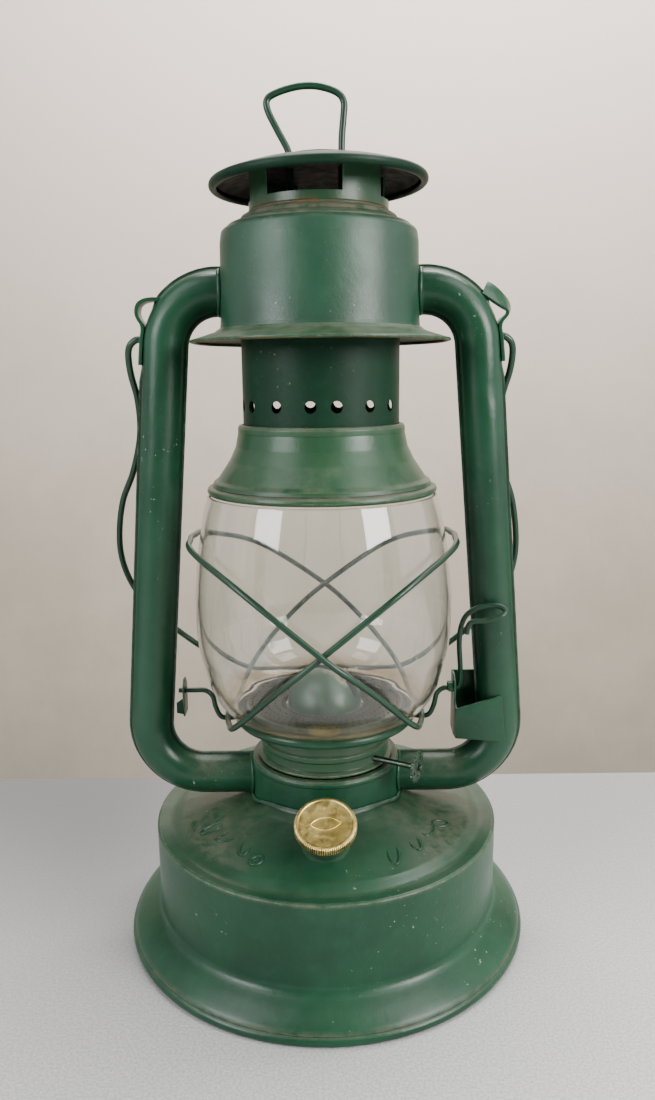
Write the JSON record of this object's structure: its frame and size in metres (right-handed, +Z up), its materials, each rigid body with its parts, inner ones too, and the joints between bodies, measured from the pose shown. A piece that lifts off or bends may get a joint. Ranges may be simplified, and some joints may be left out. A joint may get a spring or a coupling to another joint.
{
  "type": "barn lantern",
  "caption": "Cold-blast kerosene lantern with round fuel fount, side air tubes, caged glass globe on a lever-lifted plate, sprung crown, vented hood and swinging wire bail.",
  "frame": {"origin": "centre of the base, on the surface it stands on", "axes": "+Z up the lantern's axis, +X to the side with the thumb loop and the wick wheel, -Y to the front with the filler cap"},
  "size_m": [0.1988, 0.189, 0.3779],
  "materials": {
    "green_paint": "worn satin dark green enamel with dust and small chips",
    "burner_metal": "sooty and slightly rusted",
    "tinplate": "dull, darkened inside",
    "spring_steel": "dull wire",
    "aged_brass": "aged, satin",
    "globe_glass": "clear, dusty",
    "wick_cotton": "woven flat cotton, charred at the top",
    "cork": "pressed cork seal"
  },
  "bodies": {
    "frame": {"fount_shell": "green_paint", "fount_bottom": "tinplate", "filler_neck": "green_paint", "collar_drum": "green_paint", "burner_ring": "burner_metal", "burner_dome": "burner_metal", "wick_tube": "burner_metal", "side_tube_left_front": "green_paint", "side_tube_left_back": "green_paint", "side_tube_right_front": "green_paint", "side_tube_right_back": "green_paint", "left_ear": "green_paint", "right_ear": "green_paint", "left_guide_bracket": "green_paint", "right_latch_bracket": "green_paint", "canopy_drum": "green_paint", "canopy_flange": "green_paint", "neck_cup": "green_paint", "inner_chimney": "tinplate", "guide_bar": "tinplate", "hood": "green_paint", "hood_disc": "green_paint", "crown_spring_left": "spring_steel", "crown_spring_right": "spring_steel"},
    "bail": {"bail": "green_paint"},
    "cap_seal": {"cap_gasket": "cork"},
    "fuel_cap": {"fuel_cap": "aged_brass"},
    "wick_wheel": {"wick_wheel": "burner_metal"},
    "wick": {"wick": "wick_cotton"},
    "globe_carrier": {"globe_plate": "green_paint", "globe": "globe_glass", "guard_wire_left": "green_paint", "guard_wire_right": "green_paint"},
    "lift_lever": {"lift_lever": "green_paint"},
    "crown": {"crown_bell": "green_paint", "crown_sleeve": "green_paint", "crown_strap": "tinplate", "finger_loop": "green_paint"}
  },
  "joints": [
    {"name": "bail_swing", "type": "hinge", "parent": "frame", "child": "bail", "pos_m": [0, 0, 0.2755], "axis": [1, 0, 0], "range_deg": [0, 322]},
    {"name": "cap_rise", "type": "slide", "parent": "frame", "child": "cap_seal", "axis": [0, -0.4226, 0.9063], "range_m": [0, 0.0062]},
    {"name": "cap_turn", "type": "hinge", "parent": "cap_seal", "child": "fuel_cap", "pos_m": [0, -0.047, 0.06], "axis": [0, -0.4226, 0.9063], "range_deg": [0, 720]},
    {"name": "wick_turn", "type": "hinge", "parent": "frame", "child": "wick_wheel", "pos_m": [-0.00319, -0.006, 0.0877], "axis": [0.8829, -0.4695, 0], "range_deg": [-90, 130]},
    {"name": "wick_rise", "type": "slide", "parent": "frame", "child": "wick", "axis": [0, 0, 1], "range_m": [-0.0083, 0.012]},
    {"name": "globe_lift", "type": "slide", "parent": "frame", "child": "globe_carrier", "axis": [0, 0, 1], "range_m": [0, 0.012]},
    {"name": "lever_turn", "type": "hinge", "parent": "frame", "child": "lift_lever", "pos_m": [0, 0, 0.114], "axis": [1, 0, 0], "range_deg": [0, 18.4]},
    {"name": "crown_raise", "type": "slide", "parent": "globe_carrier", "child": "crown", "axis": [0, 0, 1], "range_m": [0, 0.015], "stiffness_N_per_m": 150, "springref_m": -0.02, "deforming": ["crown_spring_left", "crown_spring_right"]}
  ],
  "couplings": [
    {"joint": "cap_rise", "follows": "cap_turn", "m_per_rad": 0.00047746},
    {"joint": "wick_rise", "follows": "wick_turn", "m_per_rad": 0.0052},
    {"joint": "lever_turn", "follows": "globe_lift", "rad_per_m": 26.6}
  ]
}
